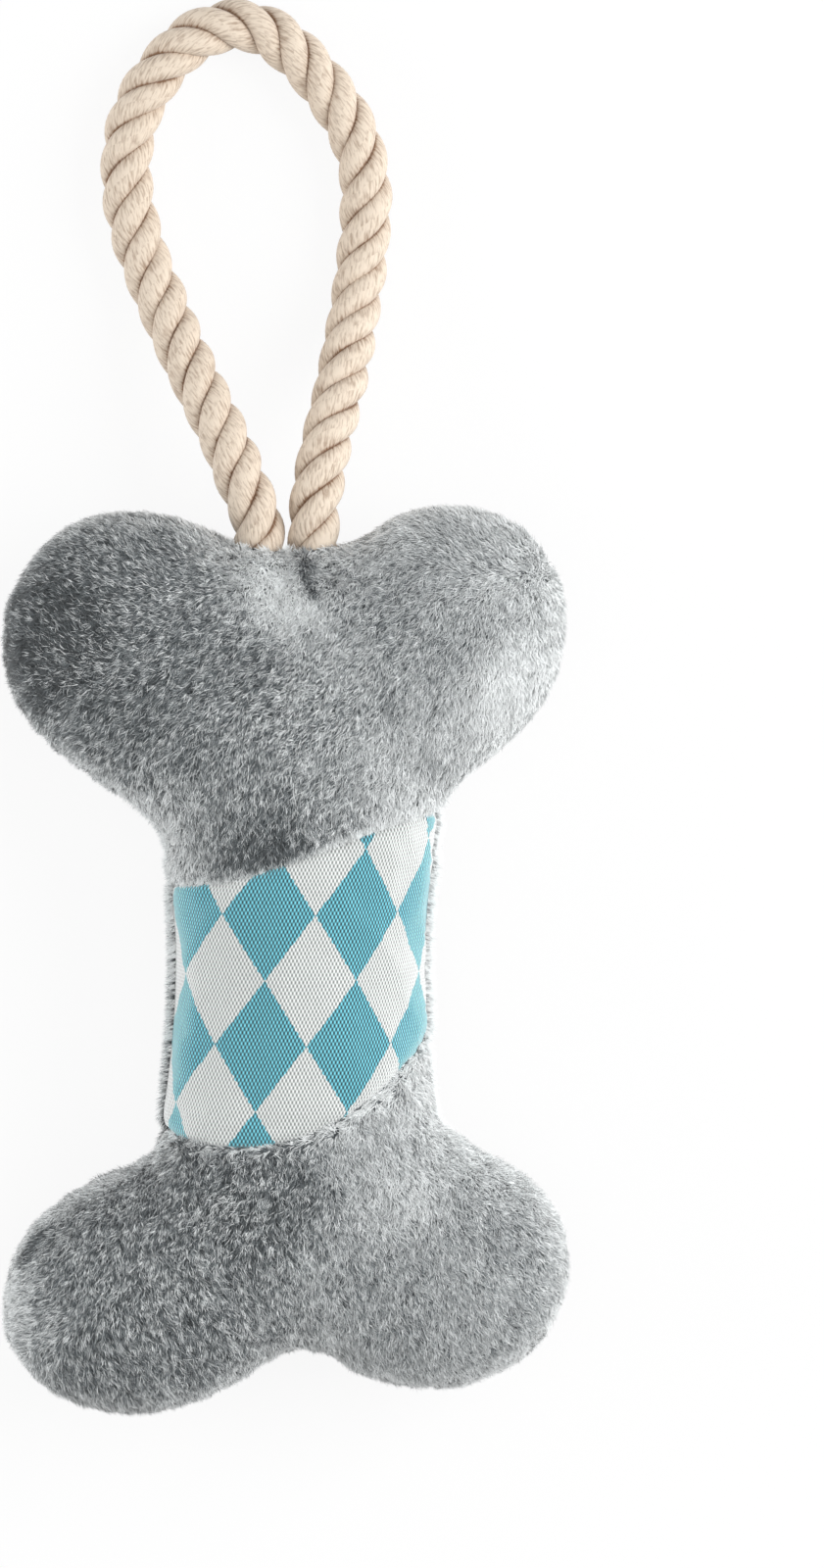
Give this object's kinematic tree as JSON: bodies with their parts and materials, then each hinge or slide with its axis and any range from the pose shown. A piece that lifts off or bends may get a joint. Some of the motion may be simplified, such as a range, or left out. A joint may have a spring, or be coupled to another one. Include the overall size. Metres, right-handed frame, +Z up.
{
  "type": "plush dog toy",
  "caption": "Stuffed plush bone with a woven lozenge-pattern waist band, a squeaker inside and a twisted cotton rope loop at its top end.",
  "frame": {"origin": "on the floor under the middle of the bone, which lies on its back", "axes": "+Y along the bone towards the rope, +Z up out of the front with the canvas band, +X to the right seen from the front"},
  "size_m": [0.142, 0.3512, 0.0557],
  "materials": {
    "plush": "short-pile grey plush",
    "canvas": "plain-woven canvas in blue and white lozenges",
    "thread": "spun polyester sewing thread",
    "fibre": "loose white polyester fibre",
    "rope": "three-strand natural cotton",
    "twine": "waxed cotton twine",
    "squeaker_skin": "blown soft polyethylene",
    "squeaker_voice": "moulded hard polyethylene"
  },
  "bodies": {
    "toy": {"front_upper_panel": "plush", "front_waist_panel": "canvas", "front_lower_panel": "plush", "back_panel": "plush", "edge_seam_thread_left": "thread", "edge_seam_thread_right": "thread", "closing_seam_thread": "thread", "upper_band_thread": "thread", "lower_band_thread": "thread", "fibre_filling": "fibre", "squeaker_bulb": "squeaker_skin", "rope_tail_left": "rope", "rope_tail_right": "rope", "rope_end_binding_left": "twine", "rope_end_binding_right": "twine", "rope_anchor_stitching": "twine", "rope_root_left": "rope", "rope_root_right": "rope"},
    "rope": {"rope_loop": "rope"},
    "voice": {"squeaker_plug": "squeaker_voice", "squeaker_reed": "squeaker_voice"}
  },
  "joints": [
    {"name": "rope_swing", "type": "hinge", "parent": "toy", "child": "rope", "pos_m": [0, 0.118, 0.0265], "axis": [1, 0, 0], "range_deg": [0, 120], "deforming": ["rope_root_left", "rope_root_right"]},
    {"name": "squeaker_press", "type": "slide", "parent": "toy", "child": "voice", "axis": [0, 0, -1], "range_m": [0, 0.008], "stiffness_N_per_m": 400, "deforming": ["squeaker_bulb"]}
  ]
}
